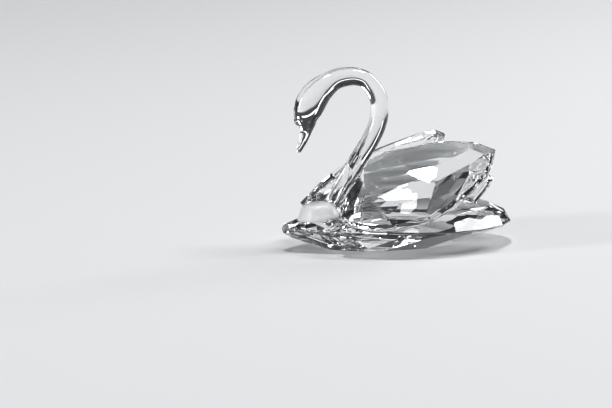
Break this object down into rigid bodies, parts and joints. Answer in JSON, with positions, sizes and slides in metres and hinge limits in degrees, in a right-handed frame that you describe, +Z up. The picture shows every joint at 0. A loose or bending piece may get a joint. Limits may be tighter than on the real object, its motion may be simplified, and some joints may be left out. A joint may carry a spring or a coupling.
{
  "type": "swan figurine",
  "caption": "Swan figurine of clear faceted glass: boat-shaped cut base, leaning almond-shaped wings, small tail plate and a smooth S-curved neck with head and bill.",
  "frame": {"origin": "on the table under the middle of the bounding box", "axes": "+Z up, -Y towards the bill, +X towards the swan's left wing"},
  "size_m": [0.0542, 0.0666, 0.0504],
  "materials": {
    "cut_crystal": "polished facets",
    "formed_crystal": "fire-polished, smooth"
  },
  "bodies": {
    "root": {"base": "cut_crystal", "wing_left": "cut_crystal", "wing_right": "cut_crystal", "tail_feather": "cut_crystal", "neck_and_head": "formed_crystal"}
  },
  "joints": []
}
